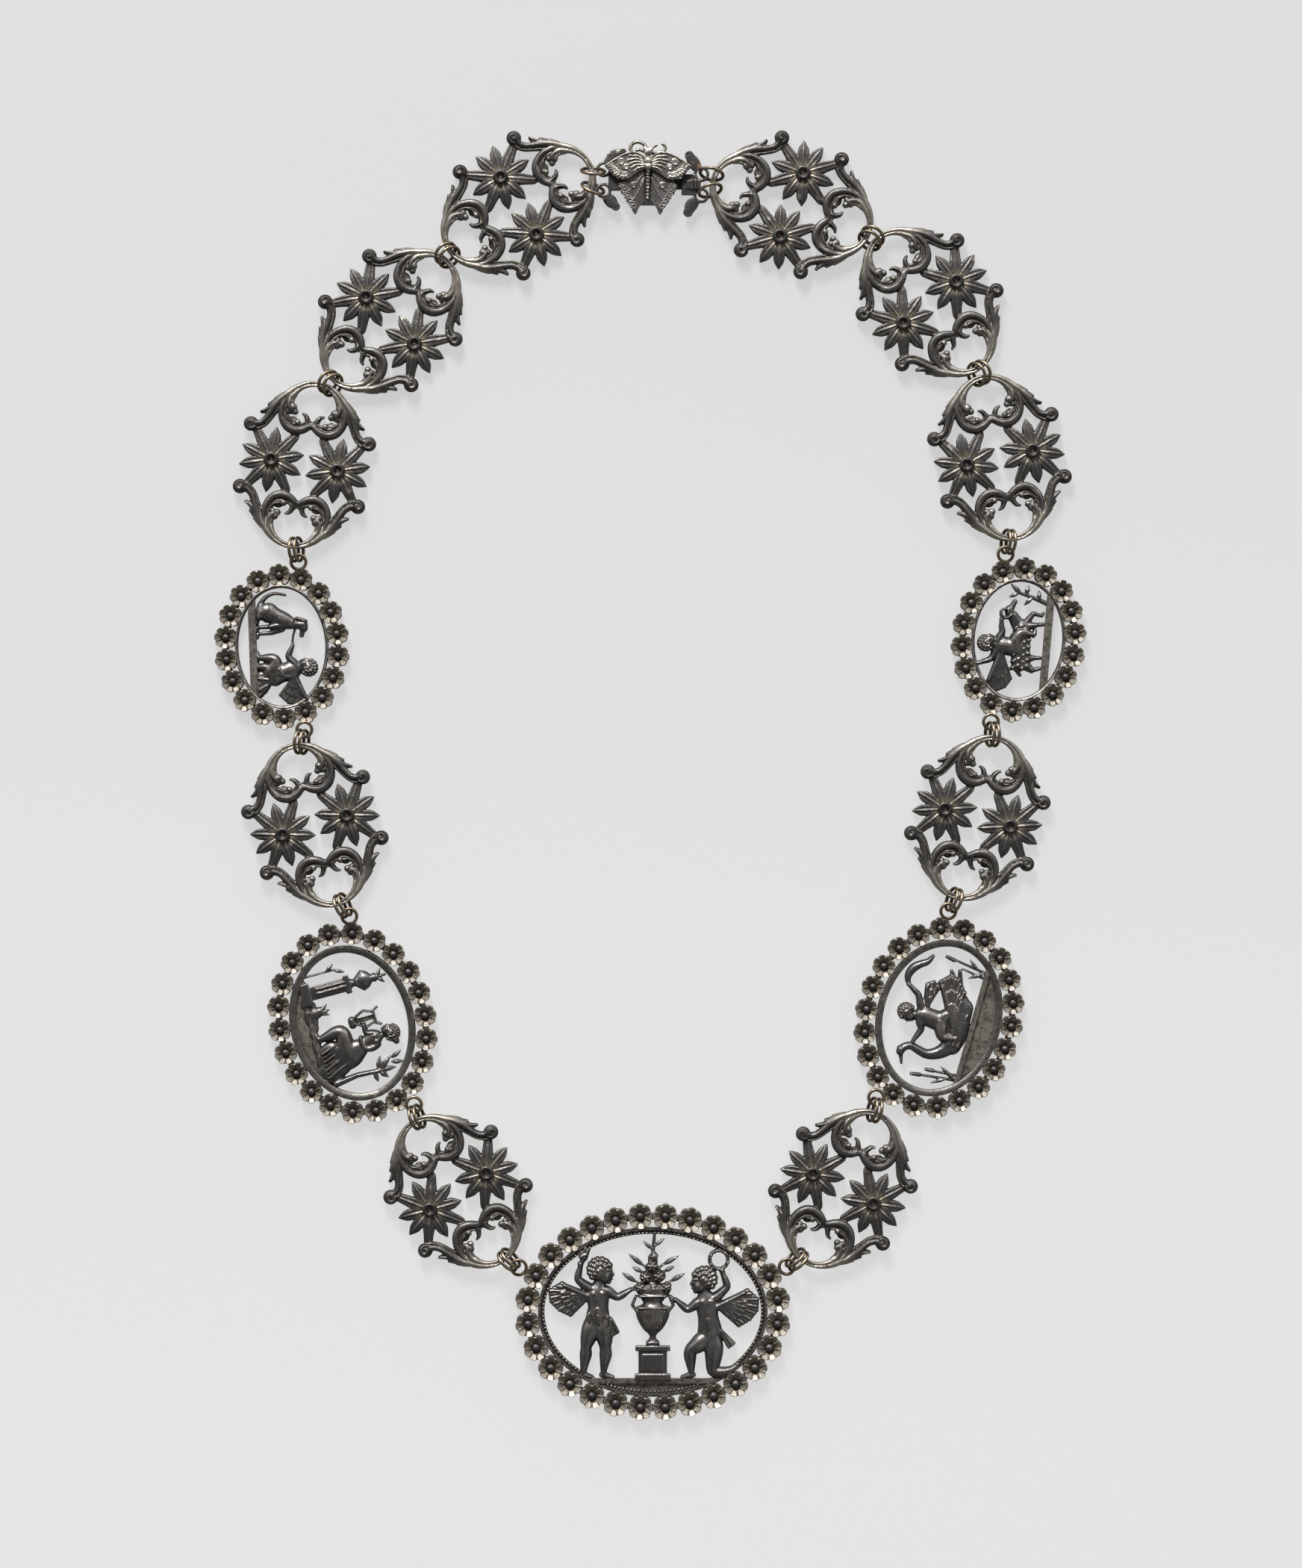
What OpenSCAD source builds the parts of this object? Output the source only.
// Cast openwork necklace, lying flat as a closed loop, 1 unit = 1 mm.
// The back of every casting lies at z = 0, the wearer's left is on the right.

/* [Layout] */
// Place of the middle medallion, seen from above
middle_place = [0.4, -86.2]; // [-100:0.1:100]
// Gap between the end bars of two neighbouring links, bar middle to bar middle
link_gap = 1.5; // [1.3:0.05:1.5]
// Gap between an end bar and a medallion's eye, middle to middle
eye_gap = 1.35; // [1.2:0.05:1.35]

/* [Flower links] */
// Distance from a link's middle to the centre of its curved end bar
bar_pivot = 8.35; // [8:0.05:8.6]
// Radius of the curved end bar
bar_r = 4.8; // [4.6:0.05:5]
// Width of the end bar
bar_w = 0.82; // [0.7:0.05:0.9]
// Thickness of the flat backing layer
plate_t = 1.35; // [1.3:0.05:1.5]
// Underside of the lifted end bars, which leaves room for the rings
bar_z0 = 1.2; // [1.15:0.05:1.25]
// Shoulder of the end bars, above which they are narrower
bar_z1 = 1.65; // [1.6:0.05:1.7]
// Top of the end bars and of the raised ridges
ridge_z = 1.95; // [1.9:0.05:2.1]
// Distance of a rosette's middle from the link's middle
rosette_v = 5.4; // [5.2:0.05:5.5]
// Reach of a petal
petal_r = 5.2; // [4.9:0.1:5.3]
// Reach of the petals that run on as arms
arm_r = 5.8; // [5.6:0.1:6]
// Half the greatest width of a petal
petal_w = 0.88; // [0.75:0.01:0.9]
// Radius of the boss in the middle of a rosette
boss_r = 1.1; // [0.9:0.05:1.2]
// Radius of the balls at the corners
ball_r = 1.2; // [1:0.05:1.3]

/* [Medallions] */
// Radius of a floret of the side medallions
floret_r = 1.83; // [1.75:0.01:1.9]
// Radius of a floret of the middle medallion
big_floret_r = 2.03; // [1.95:0.01:2.1]
// Height of the florets
floret_z = 1.95; // [1.8:0.05:2.1]
// Height of the band under the florets
band_z = 1.4; // [1.3:0.05:1.5]
// Height of the inner ring
ring_z = 1.75; // [1.6:0.05:1.85]
// Radius of a wire eye, to the middle of its wire
eye_r = 1.2; // [1.15:0.01:1.25]
// Radius of the eye's wire
eye_wire = 0.25; // [0.2:0.01:0.3]
// Height of the eye's middle
eye_z = 1.55; // [1.5:0.05:1.6]

/* [Jump rings] */
// Radius of a jump ring, to the middle of its wire
jump_r = 1.85; // [1.8:0.01:1.87]
// Radius of the jump ring's wire
jump_wire = 0.27; // [0.24:0.01:0.28]
// Width of the slit in a jump ring, in degrees
jump_slit = 5; // [2:1:10]

/* [Clasp] */
// Underside of the two hole plates
hole_plate_z = 1.1; // [1.05:0.05:1.2]
// Thickness of the two hole plates
hole_plate_t = 0.5; // [0.4:0.05:0.5]
// Radius of a ring hole
hole_r = 0.8; // [0.75:0.01:0.82]
// Width of the metal round a ring hole
hole_wall = 0.4; // [0.35:0.05:0.45]
// Height of the box
box_z = 1.8; // [1.75:0.05:1.9]
// Top of the butterfly's wings
wing_z = 2.5; // [2.3:0.05:2.8]

/* [Hidden] */
petals = 10;
iron = "#3d3b38";
wire = "#6a6259";
eps = 0.001;

// Medallions. Columns: name, half axes through the floret middles, florets, floret radius,
// half axes of the inner ring, width of that ring, entry eye, exit eye.
// The entry eye is nearer the middle medallion.
MEDALLIONS = [
    ["middle", [20.2, 15.4], 28, big_floret_r, [18.45, 13.6], 1.05, [-21.5, 7.2], [21.5, 7.3]],
    ["left_low", [14.6, 11.65], 22, floret_r, [12.6, 9.95], 1.15, [15.2, 6.2], [-16.7, 4]],
    ["left_high", [11.5, 9.05], 18, floret_r, [9.95, 7.5], 0.5, [13.4, 3.2], [-13.5, 3.2]],
    ["right_low", [14.6, 11.65], 22, floret_r, [12.75, 10], 1.1, [-15, 6.2], [16.9, 3.3]],
    ["right_high", [11.5, 9.05], 18, floret_r, [9.85, 7.55], 0.5, [-13.5, 3.3], [13.5, 3.3]]];

// The two runs from the middle medallion to the clasp.
// Columns: form, angle of the piece, direction of the gap before it.
LEFT_RUN = [
    ["link", 123, 135], ["left_low", -75, 110], ["link", 107, 115],
    ["left_high", -88, 84], ["link", 80, 94], ["link", 46, 54], ["link", 32, 46]];
RIGHT_RUN = [
    ["link", 64, 43], ["right_low", 74, 77], ["link", 75, 70],
    ["right_high", 85, 90], ["link", 102, 84], ["link", 128, 113], ["link", 160, 146]];

// Middle of the clasp's two pairs of holes, from the butterfly's body,
// and half the distance between the holes of a pair
CLASP_LEFT = [-7.1, 0.1];
CLASP_RIGHT = [8.6, -0.5];
HOLE_OFF = 1.7;

// How the two rings of a pair stand. Columns: tilt from the floor, shift along the chain,
// shifts across the chain of the first and the second ring.
LINK_RINGS = [50, 0, 0.2, 1.1];
EYE_RINGS = [70, 0.13, -0.2, 0.6];
// The rings at the clasp. Columns: tilt from the floor, x and y from the middle of the
// pair of holes, turn from the clasp's own direction.
CLASP_RINGS_LEFT = [[70, -1.7, 1.37, 177], [65, -1.7, -1.36, 158]];
CLASP_RINGS_RIGHT = [[65, 1.6, 1.7, -11], [65, 1.4, -0.95, 17]];
RING_LIFT = 0.04;

// Strokes of a quarter link. Columns: x, y, width. The chain runs along x.
ARM = [[10.6, 4.5, 1.3], [8.6, 5.9, 1.3], [7, 6.7, 1], [5.6, 7.55, 0.95], [5, 8.6, 1.1], [5.1, 9.4, 1.2]];
SCROLL = [[10.6, 4, 1.7], [8.6, 4.6, 1.25], [7, 4.4, 1.1], [5.85, 3.6, 1.35], [5.75, 2.4, 1.5],
    [6.15, 1.2, 1.3], [6.5, -0.05, 1.3]];
HOOK = [[6.4, 0.8, 1.1], [7.3, 1, 0.75], [8.15, 1.75, 0.4]];
LEAF_LONG = [[9.4, 5.6, 1.1], [8.2, 6.9, 0.8], [7.45, 8.25, 0.35]];
LEAF_SHORT = [[10.3, 5.1, 0.9], [9.3, 6.4, 0.7], [8.8, 7.6, 0.3]];
CURL = [8.4, 3.55, 0.75];
SCROLL_EYE = [6.5, 2.6, 0.5];
BALL = [5.1, 9.6];

// Limbs of the figures. Columns: x, y and radius at one end, x, y and radius at the other.
PUTTO_STANDING = [
    [-8.6, 6.3, 1.9, -8.4, 6.1, 1.8], [-8.7, 4.9, 1, -8.9, 3, 1.9], [-8.9, 3, 1.9, -8.7, -1.2, 1.9],
    [-8.2, -2, 1.5, -7.6, -5.8, 1.05], [-7.6, -5.8, 1.05, -7.9, -9.6, 0.7], [-7.9, -10.1, 0.65, -6.5, -10.3, 0.55],
    [-9.6, -2, 1.5, -10.7, -5.8, 1], [-10.7, -5.8, 1, -11.1, -9.5, 0.65], [-11, -10, 0.62, -9.8, -10.3, 0.5],
    [-7.7, 3.4, 0.85, -5.6, 2.4, 0.62], [-5.6, 2.4, 0.62, -3.6, 3.5, 0.5],
    [-10, 3.5, 0.85, -12, 5.2, 0.6], [-12, 5.2, 0.6, -11.6, 7.4, 0.5]];
WING_LEFT = [
    [-10.2, 2.6, 0.9, -14.6, 4.3, 0.6], [-10.2, 1.9, 0.8, -16.3, 3.4, 0.5],
    [-10.2, 1.4, 0.7, -16.2, 2, 0.45], [-10.2, 1, 0.7, -15.2, 0.8, 0.4], [-10, 0.5, 0.6, -13.6, -0.1, 0.4]];
TORCH = [[-11.9, 5.7, 0.4, -11.1, 8.6, 0.6], [-11.1, 8.9, 0.8, -10.5, 10.4, 0.5]];
PUTTO_KNEELING = [
    [8.1, 4.7, 1.85, 8.1, 4.2, 1.8], [8.4, 3.1, 1, 8.7, 1.2, 1.8], [8.7, 1.2, 1.8, 9.2, -3.2, 2],
    [8.8, -4.4, 1.5, 6, -6, 1.15], [6, -6, 1.15, 6.2, -9.7, 0.72], [6.2, -10.1, 0.65, 4.9, -10.3, 0.5],
    [9.8, -4.8, 1.5, 9.6, -9.4, 1.15], [9.6, -9.8, 1, 12.4, -9.4, 0.8], [12.4, -9.4, 0.75, 13.6, -8.4, 0.6],
    [7.6, 1.7, 0.85, 5.6, 0.4, 0.62], [5.6, 0.4, 0.62, 3.8, 1.8, 0.5],
    [9.8, 1.9, 0.85, 12, 4, 0.6], [12, 4, 0.6, 11, 6.6, 0.5]];
WING_RIGHT = [
    [10.2, 0.9, 0.9, 15.4, 3.2, 0.6], [10.4, 0.3, 0.8, 16.6, 1.9, 0.5],
    [10.4, -0.3, 0.7, 16.5, 0.5, 0.45], [10.4, -0.8, 0.7, 15.6, -0.9, 0.4], [10.3, -1.4, 0.6, 14, -1.9, 0.4]];
URN = [
    [0, -9.9, 2.9, 0, -9.8, 2.9], [0, -9, 2.3, 0, -6.6, 2.2], [0, -5.7, 2.7, 0, -5.6, 2.7],
    [0, -4.6, 1.1, 0, -3.8, 0.7], [0, -2.2, 2.1, 0, 0.4, 2.7], [0, 1.6, 1.5, 0, 2.1, 1.5],
    [-1.7, 2.7, 0.6, 1.7, 2.7, 0.6], [2.6, 0.6, 0.4, 3, 2.2, 0.4], [-2.6, 0.6, 0.4, -3, 2.2, 0.4]];
FLOWERS = [
    [0, 2.4, 0.8, 0, 9, 0.7], [-1.9, 4.1, 1.2, -1.9, 4.6, 1.1], [0.2, 3.6, 1.3, 0.3, 4.5, 1.3], [2.5, 4.4, 1.2, 2.4, 4.6, 1.1],
    [-1.2, 6.1, 1.3, -1.2, 6.6, 1.2], [1.2, 6.4, 1.3, 1.1, 6.8, 1.2], [0, 8.6, 1.2, 0, 8.9, 1.1],
    [0, 9.6, 0.5, 0.4, 12.4, 0.4], [-1.4, 7.4, 0.6, -3.8, 9.4, 0.35], [1.6, 7.6, 0.6, 4.2, 9, 0.35],
    [-3, 4.8, 0.6, -5, 6.2, 0.35], [3.2, 4.9, 0.6, 5.2, 6.2, 0.35]];
WREATH = [
    [9.6, 7.6, 0.5, 9.3, 9, 0.5], [9.3, 9, 0.5, 10.4, 10, 0.5],
    [10.4, 10, 0.5, 11.6, 9.4, 0.5], [11.6, 9.4, 0.5, 11.8, 8, 0.5], [11.8, 8, 0.5, 10.8, 6.9, 0.5],
    [10.8, 6.9, 0.5, 9.6, 7.6, 0.5]];
MIDDLE_SCENE = concat(PUTTO_STANDING, WING_LEFT, TORCH, PUTTO_KNEELING, WING_RIGHT, URN, FLOWERS, WREATH);

HOUND_SCENE = [
    [-5.6, -2.3, 1.7, -5.4, -1.8, 1.7], [-5.2, -1.4, 1.6, -4, 1.1, 1.3], [-3.9, 1.6, 1.1, -3.6, 3.1, 0.9],
    [-3.4, 3.5, 0.95, -1.7, 3.9, 0.5], [-4.1, 3.5, 0.45, -4.9, 2.1, 0.4], [-3.6, 0.6, 0.75, -3.3, -3.4, 0.42],
    [-3, 0.4, 0.6, -2.2, -3.5, 0.4], [-5.6, -3.7, 0.5, -4.1, -3.8, 0.45], [-6.6, -3.4, 0.6, -8.3, -1.6, 0.38],
    [-8.3, -1.6, 0.38, -8.8, 0.8, 0.32], [3.3, 4, 1.45, 3.4, 4.1, 1.4], [3.6, 2.2, 1.25, 4.6, -1, 1.5],
    [4.2, -1.3, 1.15, 1.9, -1, 0.82], [1.9, -1, 0.82, 1.7, -3.4, 0.5], [1.6, -3.8, 0.48, 0.7, -3.9, 0.4],
    [4.9, -1.5, 1.1, 3.3, -2.3, 0.78], [3.3, -2.3, 0.78, 3.2, -3.8, 0.5], [5.6, -3.1, 1.3, 6.6, -3.4, 1.1],
    [3.1, 2.2, 0.62, 1.6, 1, 0.46], [1.6, 1, 0.46, -0.1, 1.7, 0.4], [-0.1, 1.7, 0.28, -3, 2.2, 0.28],
    [4.6, 2.3, 0.75, 8.6, 3.4, 0.42], [4.8, 1.7, 0.65, 9.2, 2, 0.4], [4.9, 1.1, 0.6, 8.8, 0.7, 0.38],
    [5, 0.6, 0.55, 7.7, -0.4, 0.35]];

RAM_SCENE = [
    [-3.2, -0.6, 1.75, 2.2, -0.4, 1.55], [2.4, 0, 1.2, 4, 1.3, 0.95], [4.7, 2, 0.9, 6.2, 1.2, 0.5],
    [4.9, 2.8, 0.4, 3.8, 3.1, 0.42], [3.8, 3.1, 0.42, 3.2, 2.1, 0.4], [2.4, -1.3, 0.8, 2.8, -3.8, 0.42],
    [3, -1.2, 0.65, 4.6, -2.2, 0.42], [4.6, -2.2, 0.42, 4.3, -3.8, 0.35], [-3.9, -1.2, 1, -4.8, -2.6, 0.52],
    [-4.8, -2.6, 0.52, -4.2, -3.9, 0.4], [-2.9, -1.6, 0.85, -2.6, -3.8, 0.42], [-4.2, 0, 0.6, -6.3, -0.6, 0.32],
    [-0.9, 5, 1.38, -0.8, 5.1, 1.35], [-1.1, 3.4, 1.15, -1.2, 1, 1.35], [-0.6, 0.8, 0.95, 1.2, 0.1, 0.72],
    [1.2, 0.1, 0.72, 1, -1.8, 0.45], [-0.3, 3.4, 0.58, 1.2, 2.8, 0.44], [1.2, 2.8, 0.44, 3, 3, 0.36],
    [-1.8, 3.4, 0.55, -3.5, 4.3, 0.42], [-3.5, 4.3, 0.42, -4.3, 6.1, 0.38], [-1.9, 2.9, 0.7, -7.4, 4.1, 0.42],
    [-2, 2.4, 0.6, -8.2, 2.9, 0.4], [-2, 1.9, 0.55, -7.6, 1.7, 0.38], [-2.1, 1.4, 0.5, -6.3, 0.9, 0.35],
    [6.2, -4, 0.5, 7.4, 0.2, 0.36], [7.4, 0.2, 0.6, 8.9, 2, 0.4], [7.3, -0.6, 0.5, 8.9, -0.9, 0.35]];

LYRE_SCENE = [
    [-6.2, -5.6, 1.9, -6.2, -5.5, 1.9], [-6.2, -4.6, 1.15, -6.2, 1, 1], [-7.1, 1.6, 0.55, -5.3, 1.6, 0.55],
    [-6.2, 2.5, 0.7, -6.2, 3.6, 1.4], [-6.2, 4.8, 0.7, -6.2, 5.7, 0.4], [-6.2, 6, 0.35, -6.2, 7.2, 0.3],
    [3, 5.6, 1.45, 3.1, 5.7, 1.4], [4, 6.1, 0.8, 4.6, 6.2, 0.6], [3.1, 4, 0.8, 3.4, 3, 1.4],
    [3.4, 3, 1.4, 4.3, 0, 1.7], [4.8, -1.5, 2.1, 5, -2.2, 2.1], [4.4, -2.2, 1.75, 0.8, -1.9, 1.4],
    [0.7, -2.3, 1.25, 1.4, -5.8, 0.85], [1.2, -6.1, 0.6, 0, -6.3, 0.5], [4.6, -3.2, 1.6, 2.6, -4, 1.2],
    [2.6, -4, 1.2, 3.3, -6.2, 0.95], [5.8, -3.8, 1.6, 6.6, -5.9, 1.5], [-0.2, 0.1, 0.75, -0.1, 0.3, 0.7],
    [-0.7, 0.4, 0.34, -1.5, 2.4, 0.3], [-1.5, 2.4, 0.3, -0.9, 4.4, 0.28], [0.3, 0.5, 0.34, 1.3, 2.4, 0.3],
    [1.3, 2.4, 0.3, 0.8, 4.4, 0.28], [-1.4, 4, 0.28, 1.4, 4, 0.28], [2.6, 3.6, 0.62, 2.4, 1.6, 0.5],
    [2.4, 1.6, 0.5, 0.9, 1.5, 0.4], [8.8, -5, 0.7, 8.4, 2.2, 0.5], [8.5, 2.9, 1.3, 8.3, 3.6, 1.4],
    [7.1, 4.7, 1.1, 7, 5.2, 1.1], [-2.9, -5.4, 1.1, -3.1, -4.4, 0.8], [-8.9, -6.5, 0.5, -9, -0.4, 0.4]];

SWAN_SCENE = [
    [-1.6, -3.3, 2.3, 3.8, -2.7, 1.9], [5, -1.9, 1.1, 8, 0.2, 0.5], [-3.6, -3, 2, -3.2, -3.2, 2],
    [-4.6, -2.2, 1.2, -6, 0.2, 0.85], [-6, 0.2, 0.85, -5.3, 2.6, 0.66], [-5.3, 2.6, 0.66, -6.4, 4.5, 0.62],
    [-6.9, 4.7, 0.8, -8.8, 3.9, 0.36], [-0.6, -1.8, 1, 5.6, 1, 0.5], [0, -2.2, 0.9, 6.6, -0.2, 0.5],
    [-0.5, 5.2, 1.45, -0.4, 5.3, 1.4], [-0.2, 3.4, 1.2, -0.4, 0, 1.45], [-0.8, -0.6, 1.05, -2.7, -1.2, 0.78],
    [-2.7, -1.2, 0.78, -2.4, -3.4, 0.5], [-0.9, 3.1, 0.62, -2.5, 2.2, 0.46], [-2.5, 2.2, 0.46, -4.8, 2.9, 0.4],
    [0.6, 3.1, 0.62, 2.7, 4.1, 0.46], [2.5, 3.9, 0.46, 3.9, 6, 0.4], [3.8, 6.2, 0.45, 6.6, 6.1, 0.5],
    [6.6, 6.1, 0.5, 8.4, 4, 0.5], [8.4, 4, 0.5, 9.6, 3.6, 0.4], [0.8, 2.4, 0.6, 4.8, 3.1, 0.4],
    [0.9, 1.8, 0.55, 5.2, 2.1, 0.38], [8.9, -5.7, 0.45, 9.9, 1, 0.3], [-8.9, -5.7, 0.45, -9.8, 1.4, 0.3],
    [-8.1, -5.7, 0.4, -8.5, -0.8, 0.28]];

// Butterfly. Columns: x and y of the wing's outline from the body outward.
FOREWING_LEFT = [[-0.3, 3.2], [-1.2, 4], [-2.7, 4.5], [-4.6, 3.8], [-6.6, 2.5], [-6.4, 1.4], [-5.8, 0.8],
    [-5, 0.3], [-3.9, 0.1], [-2.7, 0.5], [-1.2, 1.6], [-0.3, 1.9]];
HINDWING_LEFT = [[-0.2, 2.4], [-1.2, 1.9], [-2.6, 0.8], [-4.7, -0.9], [-4.4, -1.8], [-3.8, -2.3], [-3.2, -3.5],
    [-2.7, -4.3], [-2, -5.5], [-1.5, -4.5], [-0.2, -3.6]];

function turned(p, a) = [p.x * cos(a) - p.y * sin(a), p.x * sin(a) + p.y * cos(a)];
function polar(r, a) = [r * cos(a), r * sin(a)];
function medallion_row(name) = [for (m = MEDALLIONS) if (m[0] == name) m][0];
function entry_of(form) = form == "link" ? [-bar_pivot, 0] : medallion_row(form)[6];
function exit_of(form) = form == "link" ? [bar_pivot, 0] : medallion_row(form)[7];
function reach_of(form) = form == "link" ? bar_r : eye_r;
function gap_of(form_a, form_b) = form_a == "link" && form_b == "link" ? link_gap : eye_gap;

// Lays a run piece by piece. Columns: form, middle, angle, middle of the gap before it,
// direction of that gap, form of the piece before, pivot at the far end.
function lay(run, from, before, i = 0) = i == len(run) ? [] : let (
    form = run[i][0], angle = run[i][1], way = run[i][2], gap = gap_of(before, form),
    first = from + polar(reach_of(before) + gap + reach_of(form), way),
    middle = first - turned(entry_of(form), angle),
    last = middle + turned(exit_of(form), angle))
    concat([[form, middle, angle, from + polar(reach_of(before) + gap / 2, way), way, before, last]],
        lay(run, last, form, i + 1));

middle_row = medallion_row("middle");
left_laid = lay(LEFT_RUN, middle_place + middle_row[6], "middle");
right_laid = lay(RIGHT_RUN, middle_place + middle_row[7], "middle");
left_end = left_laid[len(left_laid) - 1][6];
right_end = right_laid[len(right_laid) - 1][6];
end_line = right_end - left_end;
hole_line = CLASP_RIGHT - CLASP_LEFT;
clasp_angle = atan2(end_line.y, end_line.x) - atan2(hole_line.y, hole_line.x);
clasp_place = (left_end + right_end) / 2 - turned((CLASP_LEFT + CLASP_RIGHT) / 2, clasp_angle);

// Smooth path through a stroke's rows, with the width carried along
function knot(rows, i) = rows[max(0, min(len(rows) - 1, i))];
function between(a, b, c, d, t) =
    0.5 * (2 * b + (c - a) * t + (2 * a - 5 * b + 4 * c - d) * t * t + (3 * b - a - 3 * c + d) * t * t * t);
function smooth(rows, steps) = concat(
    [for (i = [0 : len(rows) - 2], k = [0 : steps - 1])
        between(knot(rows, i - 1), knot(rows, i), knot(rows, i + 1), knot(rows, i + 2), k / steps)],
    [rows[len(rows) - 1]]);
function side_of(path, side, trim) = [for (i = [0 : len(path) - 1]) let (
    ahead = knot(path, i + 1), back = knot(path, i - 1),
    run = [ahead.x - back.x, ahead.y - back.y], half = max(path[i][2] / 2 - trim, 0.06) / norm(run))
    [path[i].x - side * run.y * half, path[i].y + side * run.x * half]];
module stroke(rows, trim = 0, steps = 2) {
    path = smooth(rows, steps);
    far = side_of(path, -1, trim);
    polygon(concat(side_of(path, 1, trim), [for (i = [len(far) - 1 : -1 : 0]) far[i]]));
}
module slab(z0, z1) translate([0, 0, z0]) linear_extrude(z1 - z0) offset(delta = eps) children();
module oval(axes) polygon([for (a = [0 : 7.5 : 352.5]) on_oval(axes, a)]);

// Flower link, its middle at the origin and the chain along x
module end_bar(trim = 0) stroke([for (a = [-5 : 15 : 70])
    [bar_pivot + bar_r * cos(a), bar_r * sin(a), bar_w + 1.7 * pow(a / 74, 2)]], trim);
module quarter() {
    end_bar();
    for (rows = [ARM, SCROLL]) stroke(rows);
    for (rows = [HOOK, LEAF_LONG, LEAF_SHORT]) stroke(rows, 0, 1);
    for (knob = [CURL, SCROLL_EYE]) translate([knob.x, knob.y]) circle(knob[2], $fn = 9);
    translate(BALL) circle(ball_r + 0.05, $fn = 16);
}
module four_ways() for (sx = [-1, 1], sy = [-1, 1]) scale([sx, sy]) children();
// A petal runs to a point, an arm petal stays broad and meets the scrollwork
module petal_outline(reach) {
    tip = reach > petal_r ? 0.5 : 0.08;
    polygon([[0.4, -0.3], [2.8, -petal_w], [4.2, -petal_w * 0.8], [reach, -tip],
        [reach, tip], [4.2, petal_w * 0.8], [2.8, petal_w], [0.4, 0.3]]);
}
function petal_reach(i) = (i % 5 == 1 || i % 5 == 4) ? arm_r : petal_r;
module petal_ridge(reach) {
    half = petal_w * 0.9;
    polyhedron(
        [[0.3, 0, 1], [2.8, -half, 1], [reach - 0.1, 0, 1], [2.8, half, 1], [2.9, 0, 2.25]],
        [[0, 1, 2, 3], [0, 4, 1], [1, 4, 2], [2, 4, 3], [3, 4, 0]]);
}
module flower_link() color(iron) difference() {
    union() {
        slab(0, plate_t) intersection() {
            union() {
                four_ways() quarter();
                for (side = [-1, 1], i = [0 : petals - 1])
                    translate([0, side * rosette_v]) rotate(i * 360 / petals) petal_outline(petal_reach(i));
            }
            square([22, 30], center = true);
        }
        slab(bar_z0, bar_z1) four_ways() end_bar();
        slab(bar_z0, ridge_z) four_ways() {
            end_bar(0.2);
            for (rows = [ARM, SCROLL]) stroke(rows, 0.3, 1);
        }
        for (side = [-1, 1]) translate([0, side * rosette_v, 0]) {
            for (i = [0 : petals - 1]) rotate(i * 360 / petals) petal_ridge(petal_reach(i));
            translate([0, 0, 1]) cylinder(h = 1.8, r = boss_r, $fn = 24);
        }
        for (sx = [-1, 1], sy = [-1, 1])
            translate([sx * BALL.x, sy * BALL.y, ball_r + 0.06]) sphere(ball_r, $fn = 24);
    }
    for (side = [-1, 1]) translate([0, side * rosette_v, 2.3])
        cylinder(h = 0.6, r1 = 0.3, r2 = 0.85, $fn = 24);
}

// Points at equal steps round an oval, the first one half a step from its top
function on_oval(axes, a) = [axes.x * cos(a), axes.y * sin(a)];
function oval_steps(axes) = [for (
    a = 90, s = 0; a <= 450; a = a + 4,
    s = s + norm(on_oval(axes, a) - on_oval(axes, a - 4))) [s, a]];
function floret_places(axes, count) = let (steps = oval_steps(axes), whole = steps[len(steps) - 1][0])
    [for (k = [0 : count - 1]) on_oval(axes, lookup((k + 0.5) * whole / count, steps))];

// One limb of a figure: a bevelled bar with a flat back, pointed at both ends
function limb_section(p, across, r, z) = [for (a = [0 : 60 : 180])
    [p.x + across.x * r * cos(a), p.y + across.y * r * cos(a), z + (0.9 + 0.55 * r) * sin(a)]];
module limb(row, z = 0.3) {
    a = [row[0], row[1]];
    b = [row[3], row[4]];
    run = (b - a) / norm(b - a);
    across = [-run.y, run.x];
    tip_a = a - run * row[2];
    tip_b = b + run * row[5];
    polyhedron(
        concat(limb_section(a, across, row[2], z), limb_section(b, across, row[5], z),
            [[tip_a.x, tip_a.y, z], [tip_b.x, tip_b.y, z]]),
        [[0, 4, 5, 1], [1, 5, 6, 2], [2, 6, 7, 3], [8, 0, 1], [8, 1, 2], [8, 2, 3], [5, 4, 9], [6, 5, 9], [7, 6, 9],
            [0, 8, 3, 7, 9, 4]]);
}
module figures(rows) resize([0, 0, 0]) union() for (row = rows) limb(row);

// Medallion, its middle at the origin and its scene upright along y
module eye(place) translate([place.x, place.y, eye_z])
    rotate_extrude($fn = 32) translate([eye_r, 0]) circle(eye_wire, $fn = 16);
module ground(inner, top, depth) intersection() {
    oval(inner);
    translate([-30, top - depth]) square([60, depth]);
}
module medallion(name, ground_top, ground_depth) color(iron) {
    row = medallion_row(name);
    places = floret_places(row[1], row[2]);
    floret = row[3];
    rim = row[4];
    rim_w = row[5] * [1, 1];
    difference() {
        union() {
            for (p = places) translate(p) cylinder(h = floret_z, r = floret, $fn = 24);
            slab(0.1, band_z) difference() {
                oval(row[1]);
                oval(rim - rim_w / 2);
            }
            slab(0.15, ring_z) difference() {
                oval(rim);
                oval(rim - rim_w);
            }
            slab(0.2, 1.5) ground(rim - rim_w / 3, ground_top, ground_depth);
            eye(row[6]);
            eye(row[7]);
            children();
        }
        for (p = places) translate([p.x, p.y, floret_z - 0.75])
            cylinder(h = 0.8, r1 = 0.8, r2 = floret - 0.3, $fn = 24);
    }
    for (p = places) translate([p.x, p.y, floret_z - 0.65]) sphere(0.62, $fn = 16);
}

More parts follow.
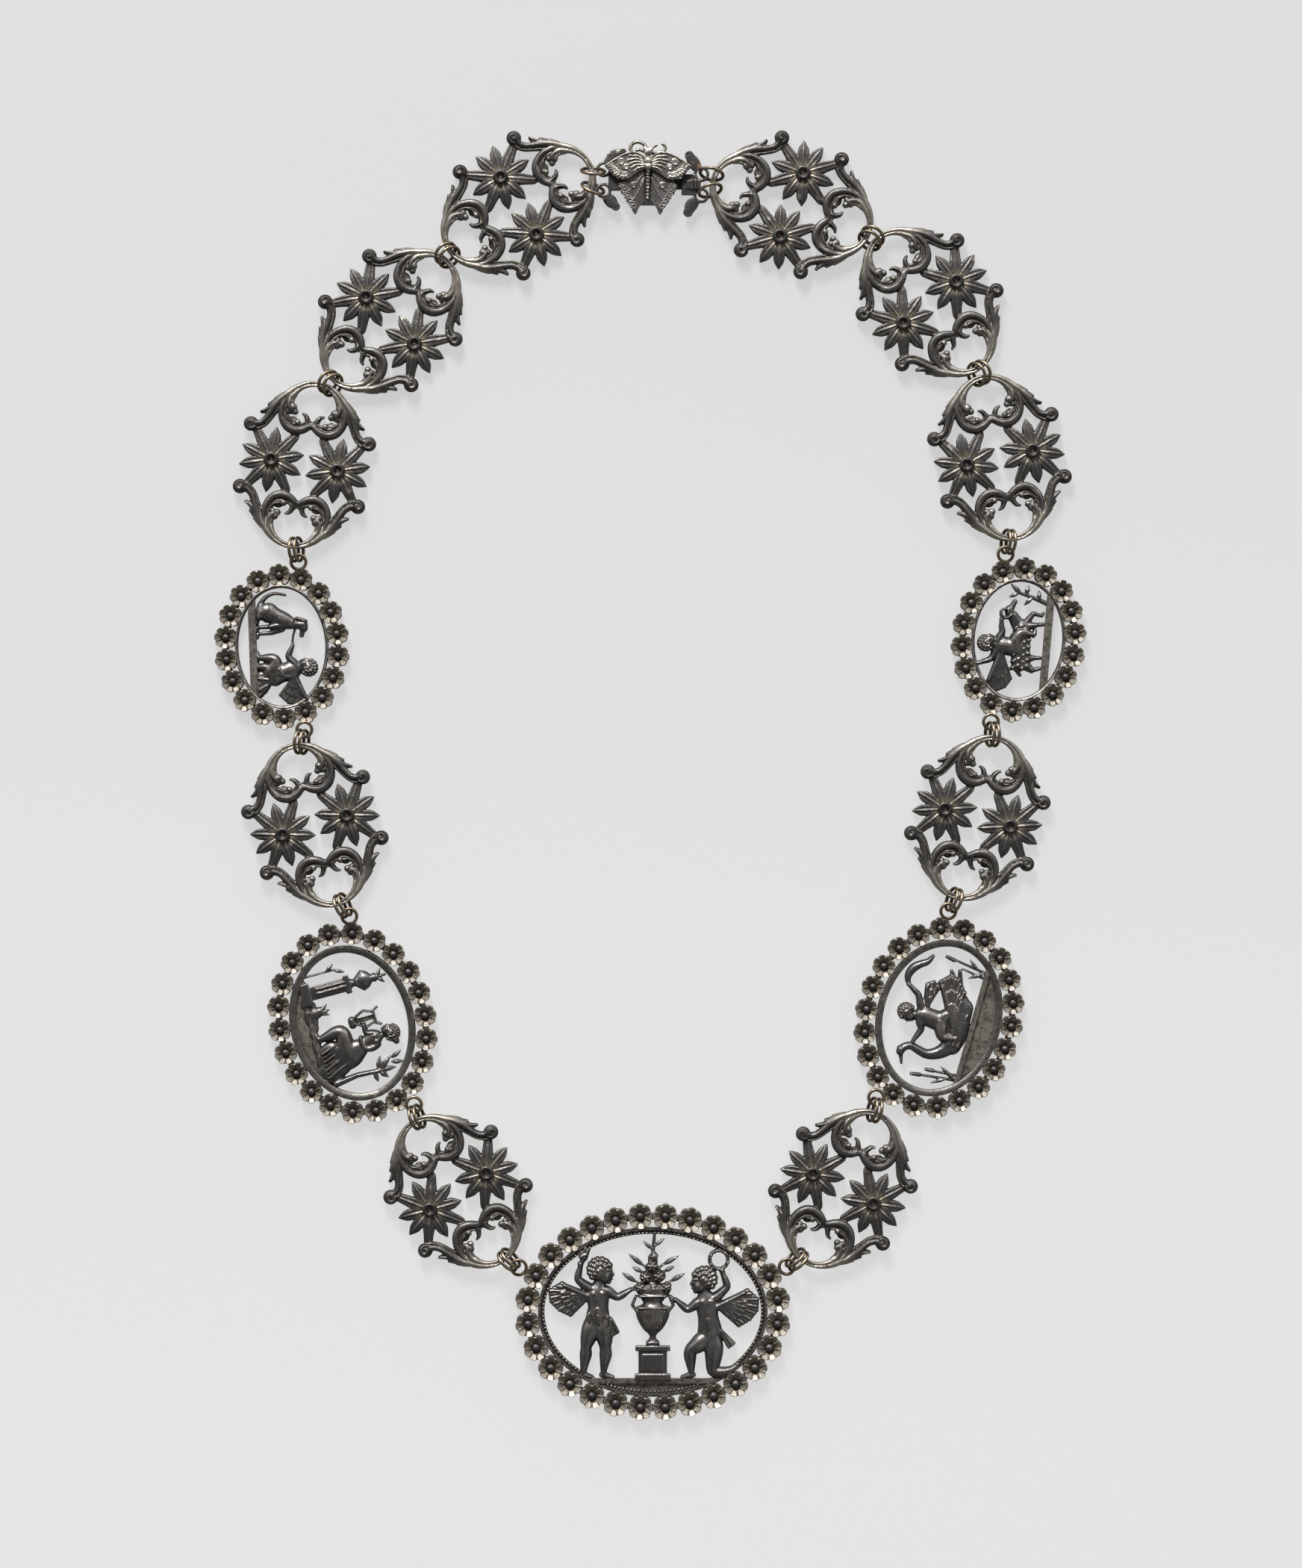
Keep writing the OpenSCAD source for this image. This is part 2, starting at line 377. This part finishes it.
// Clasp. The box carries the butterfly and the left pair of holes, the tongue the right pair.
module holes(r) for (up = [-1, 1]) translate([0, up * HOLE_OFF]) circle(r, $fn = 28);
module holed_plate(side, lobes) difference() {
    union() {
        holes(hole_r + hole_wall);
        translate([side > 0 ? -3.4 : 0, -1.7]) square([3.4, 3.4]);
        for (rows = lobes) stroke(rows);
    }
    holes(hole_r);
}
LOBES_LEFT = [[[0.6, 2.6, 1.4], [1.6, 3.9, 1.8], [3, 4.5, 1]], [[0.4, -2.6, 1.4], [1.2, -3.4, 1.9], [2, -4.2, 1.1]]];
LOBES_RIGHT = [[[-0.6, 2.6, 1.4], [-1.3, 3.6, 1.9], [-2, 4.7, 1.2]], [[-0.8, -2.4, 1.4], [-1.6, -3.3, 1.9], [-2.1, -4.4, 1.3]]];
module wings() for (flip = [0, 1]) mirror([flip, 0]) {
    polygon(FOREWING_LEFT);
    polygon(HINDWING_LEFT);
}
module clasp_box() color(iron) placed(clasp_place, clasp_angle) {
    difference() {
        union() {
            translate([-4.3, -2, 0]) cube([8.6, 4.9, box_z]);
            translate([-2.4, -3.8, 0]) cube([4.8, 2.5, box_z]);
            slab(box_z - 0.1, wing_z) wings();
        }
        translate([-1.5, -1.4, 0.45]) cube([6, 2.1, 0.9]);
    }
    slab(hole_plate_z, hole_plate_z + hole_plate_t) translate(CLASP_LEFT) holed_plate(-1, LOBES_LEFT);
    translate([0, -3.3, 0]) limb_stack([[0, 0, 0.5, 0, 5, 0.85], [0, 5.4, 0.8, 0.1, 6.8, 0.75], [0.1, 7.6, 0.6, 0.2, 8.2, 0.5]]);
    limb_stack([[-0.2, 4.4, 0.3, -0.8, 5.6, 0.3], [-0.8, 5.6, 0.3, -2.1, 6.1, 0.3],
        [-2.1, 6.1, 0.3, -3.1, 5.2, 0.3], [-3.1, 5.2, 0.3, -2.8, 4.2, 0.3],
        [0.3, 4.3, 0.28, 1.4, 5.7, 0.22], [0.7, 4.1, 0.3, 2.7, 4.8, 0.28], [2.7, 4.8, 0.28, 2.2, 5.9, 0.22]]);
}
module limb_stack(rows) resize([0, 0, 0]) union() for (row = rows) limb(row, 2.2);
module clasp_tongue() color(iron) placed(clasp_place, clasp_angle) {
    translate([-1.2, -1.3, 0.55]) cube([8, 1.9, 0.7]);
    translate([6.2, -1.2, 0.5]) cube([2.4, 1.4, 1.3]);
    for (rib = [6.9, 7.5, 8.1]) translate([rib, -1.3, 0.6]) cube([0.35, 1.6, 1.4]);
    slab(hole_plate_z, hole_plate_z + hole_plate_t) translate(CLASP_RIGHT) holed_plate(1, LOBES_RIGHT);
}

// A jump ring, tilted from the floor about its own x
module jump(tilt) translate([0, 0, jump_r * sin(tilt) + jump_wire + RING_LIFT])
    rotate([tilt, 0, 0]) rotate(200) rotate_extrude(angle = 360 - jump_slit, $fn = 32)
        translate([jump_r, 0]) circle(jump_wire, $fn = 16);
// The run's first ring pair is beside the middle medallion. The rings' upper sides lean outward.
module ring_pair(laid, outward, i) color(wire) {
    piece = laid[i];
    stand = piece[0] == "link" && piece[5] == "link" ? LINK_RINGS : EYE_RINGS;
    toward = (piece[0] == "link" ? 1 : -1) * outward;
    placed(piece[3], piece[4] + (outward > 0 ? 0 : 180)) for (shift = [stand[2], stand[3]])
        translate([toward * stand[1], shift]) jump(stand[0]);
}
module clasp_ring_pair(hole_middle, stands) color(wire) placed(clasp_place, clasp_angle)
    for (stand = stands) translate(hole_middle + [stand[1], stand[2]]) rotate(stand[3]) jump(stand[0]);
module placed(place, angle) translate([place.x, place.y, 0]) rotate(angle) children();
module laid_link(laid, i) {
    links = [for (piece = laid) if (piece[0] == "link") piece];
    placed(links[i][1], links[i][2]) flower_link();
}
module laid_medallion(name, ground_top, ground_depth, scene) {
    piece = [for (p = concat(left_laid, right_laid)) if (p[0] == name) p][0];
    placed(piece[1], piece[2]) medallion(name, ground_top, ground_depth) figures(scene);
}
module medallion_middle() placed(middle_place, 0) medallion("middle", -10.7, 4) figures(MIDDLE_SCENE);
module medallion_left_low() laid_medallion("left_low", -6, 6, LYRE_SCENE);
module medallion_left_high() laid_medallion("left_high", -4, 1.2, HOUND_SCENE);
module medallion_right_low() laid_medallion("right_low", -5.2, 6, SWAN_SCENE);
module medallion_right_high() laid_medallion("right_high", -4, 1.2, RAM_SCENE);

medallion_middle();
medallion_left_low();
medallion_left_high();
medallion_right_low();
medallion_right_high();
laid_link(left_laid, 0);  // flower_link_left_1
laid_link(left_laid, 1);  // flower_link_left_2
laid_link(left_laid, 2);  // flower_link_left_3
laid_link(left_laid, 3);  // flower_link_left_4
laid_link(left_laid, 4);  // flower_link_left_5
laid_link(right_laid, 0);  // flower_link_right_1
laid_link(right_laid, 1);  // flower_link_right_2
laid_link(right_laid, 2);  // flower_link_right_3
laid_link(right_laid, 3);  // flower_link_right_4
laid_link(right_laid, 4);  // flower_link_right_5
clasp_box();
clasp_tongue();
ring_pair(left_laid, 1, 0);  // ring_pair_left_1
ring_pair(left_laid, 1, 1);  // ring_pair_left_2
ring_pair(left_laid, 1, 2);  // ring_pair_left_3
ring_pair(left_laid, 1, 3);  // ring_pair_left_4
ring_pair(left_laid, 1, 4);  // ring_pair_left_5
ring_pair(left_laid, 1, 5);  // ring_pair_left_6
ring_pair(left_laid, 1, 6);  // ring_pair_left_7
clasp_ring_pair(CLASP_LEFT, CLASP_RINGS_LEFT);  // ring_pair_left_8
ring_pair(right_laid, -1, 0);  // ring_pair_right_1
ring_pair(right_laid, -1, 1);  // ring_pair_right_2
ring_pair(right_laid, -1, 2);  // ring_pair_right_3
ring_pair(right_laid, -1, 3);  // ring_pair_right_4
ring_pair(right_laid, -1, 4);  // ring_pair_right_5
ring_pair(right_laid, -1, 5);  // ring_pair_right_6
ring_pair(right_laid, -1, 6);  // ring_pair_right_7
clasp_ring_pair(CLASP_RIGHT, CLASP_RINGS_RIGHT);  // ring_pair_right_8
